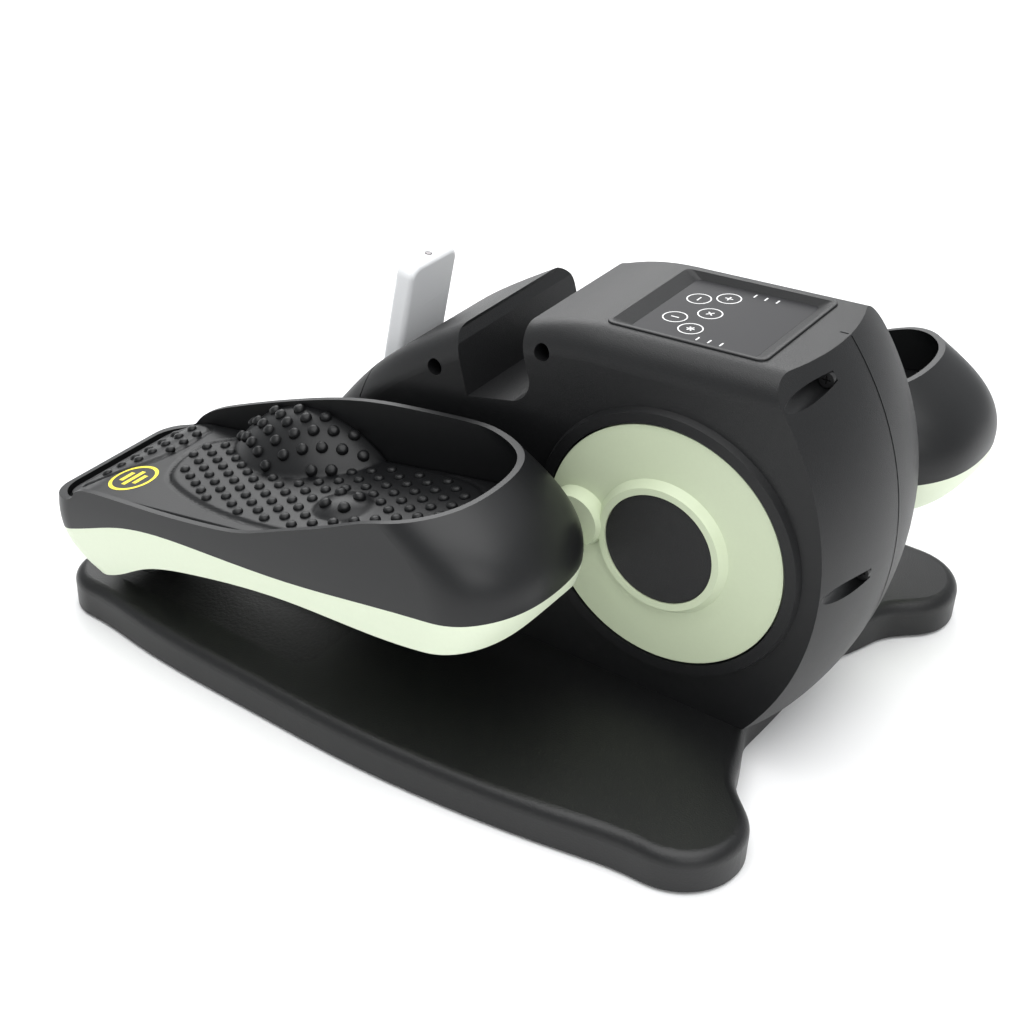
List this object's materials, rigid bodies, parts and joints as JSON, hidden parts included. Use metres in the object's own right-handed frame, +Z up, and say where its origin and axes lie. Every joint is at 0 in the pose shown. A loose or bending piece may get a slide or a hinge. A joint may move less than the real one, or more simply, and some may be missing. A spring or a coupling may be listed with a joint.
{
  "type": "pedal exerciser",
  "caption": "Motor-driven under-desk elliptical pedal exerciser: winged base, drum body with console, crank discs and two footbed pedals with massage mats.",
  "frame": {"origin": "on the floor, at the middle of the whole object's box", "axes": "+Z up, +Y towards the toes, +X to the user's right"},
  "size_m": [0.426, 0.4996, 0.262],
  "materials": {
    "black_base": "fine textured, satin",
    "black_shell": "fine spark-eroded texture",
    "black_cap": "coarse texture",
    "black_tray": "smooth satin",
    "green_disc": "smooth satin",
    "green_shell": "smooth satin",
    "massage_mat": "satin rubber",
    "rubber": "matt",
    "roller": "matt",
    "bush": "smooth",
    "steel": "zinc plated",
    "painted_steel": "powder coated",
    "motor_can": "plated can",
    "circuit_board": "solder mask",
    "panel": "smooth film under gloss",
    "white_remote": "fine texture",
    "grey_key": "matt",
    "ir_window": "tinted clear"
  },
  "bodies": {
    "root": {"base_plate": "black_base", "rubber_feet": "rubber", "base_screws": "steel", "left_shell": "black_shell", "right_shell": "black_shell", "front_cover": "black_shell", "shell_screws": "steel", "console_bezel": "black_shell", "console_panel": "panel", "display_board": "circuit_board", "drive_frame": "painted_steel", "left_crank_bearing": "steel", "right_crank_bearing": "steel", "drive_belt": "rubber", "motor": "motor_can", "control_board": "circuit_board", "power_inlet": "black_shell"},
    "crank": {"crank_shaft": "steel", "crank_pulley": "black_shell", "left_crank_disc": "green_disc", "right_crank_disc": "green_disc", "left_disc_cap": "black_cap", "right_disc_cap": "black_cap", "left_crank_pin": "steel", "right_crank_pin": "steel"},
    "motor_rotor": {"motor_shaft": "steel", "motor_pulley": "steel"},
    "switch_rocker": {"power_switch": "black_cap"},
    "remote": {"remote_body": "white_remote", "remote_battery_door": "white_remote", "remote_ir_led": "ir_window"},
    "left_pedal": {"left_pedal_tray": "black_tray", "left_pedal_shell": "green_shell", "left_massage_mat": "massage_mat", "left_pedal_bushes": "bush", "left_roller_axle": "steel"},
    "left_roller": {"left_toe_roller": "roller"},
    "right_pedal": {"right_pedal_tray": "black_tray", "right_pedal_shell": "green_shell", "right_massage_mat": "massage_mat", "right_pedal_bushes": "bush", "right_roller_axle": "steel"},
    "right_roller": {"right_toe_roller": "roller"},
    "remote_key_1": {"remote_key_1": "grey_key"},
    "remote_key_2": {"remote_key_2": "grey_key"},
    "remote_key_3": {"remote_key_3": "grey_key"},
    "remote_key_4": {"remote_key_4": "grey_key"},
    "remote_key_5": {"remote_key_5": "grey_key"}
  },
  "joints": [
    {"name": "crank_turn", "type": "hinge", "parent": "root", "child": "crank", "pos_m": [0, -0.1382, 0.136], "axis": [1, 0, 0], "range_deg": [-70, 70]},
    {"name": "left_pedal_swing", "type": "hinge", "parent": "crank", "child": "left_pedal", "pos_m": [-0.145, -0.0712, 0.136], "axis": [1, 0, 0], "range_deg": [-86, 86]},
    {"name": "left_roller_spin", "type": "hinge", "parent": "left_pedal", "child": "left_roller", "pos_m": [-0.145, 0.20698, 0.04938], "axis": [1, 0, 0], "continuous": true},
    {"name": "right_pedal_swing", "type": "hinge", "parent": "crank", "child": "right_pedal", "pos_m": [0.145, -0.2052, 0.136], "axis": [1, 0, 0], "range_deg": [-57, 57]},
    {"name": "right_roller_spin", "type": "hinge", "parent": "right_pedal", "child": "right_roller", "pos_m": [0.145, 0.07298, 0.04938], "axis": [1, 0, 0], "continuous": true},
    {"name": "motor_turn", "type": "hinge", "parent": "root", "child": "motor_rotor", "pos_m": [0, 0.0218, 0.084], "axis": [1, 0, 0], "range_deg": [-435, 435]},
    {"name": "power_rocker", "type": "hinge", "parent": "root", "child": "switch_rocker", "pos_m": [-0.012, 0.1458, 0.056], "axis": [1, 0, 0], "range_deg": [0, 16]},
    {"name": "remote_lift", "type": "slide", "parent": "root", "child": "remote", "axis": [0, -0.1633, 0.9866], "range_m": [0, 0.06]},
    {"name": "remote_key_1_press", "type": "slide", "parent": "remote", "child": "remote_key_1", "axis": [0, -0.9866, -0.1633], "range_m": [0, 0.0008], "stiffness_N_per_m": 400},
    {"name": "remote_key_2_press", "type": "slide", "parent": "remote", "child": "remote_key_2", "axis": [0, -0.9866, -0.1633], "range_m": [0, 0.0008], "stiffness_N_per_m": 400},
    {"name": "remote_key_3_press", "type": "slide", "parent": "remote", "child": "remote_key_3", "axis": [0, -0.9866, -0.1633], "range_m": [0, 0.0008], "stiffness_N_per_m": 400},
    {"name": "remote_key_4_press", "type": "slide", "parent": "remote", "child": "remote_key_4", "axis": [0, -0.9866, -0.1633], "range_m": [0, 0.0008], "stiffness_N_per_m": 400},
    {"name": "remote_key_5_press", "type": "slide", "parent": "remote", "child": "remote_key_5", "axis": [0, -0.9866, -0.1633], "range_m": [0, 0.0008], "stiffness_N_per_m": 400}
  ],
  "couplings": [
    {"joint": "left_pedal_swing", "follows": "crank_turn", "ratio": -1.205},
    {"joint": "right_pedal_swing", "follows": "crank_turn", "ratio": -0.795},
    {"joint": "motor_turn", "follows": "crank_turn", "ratio": 6.2}
  ]
}
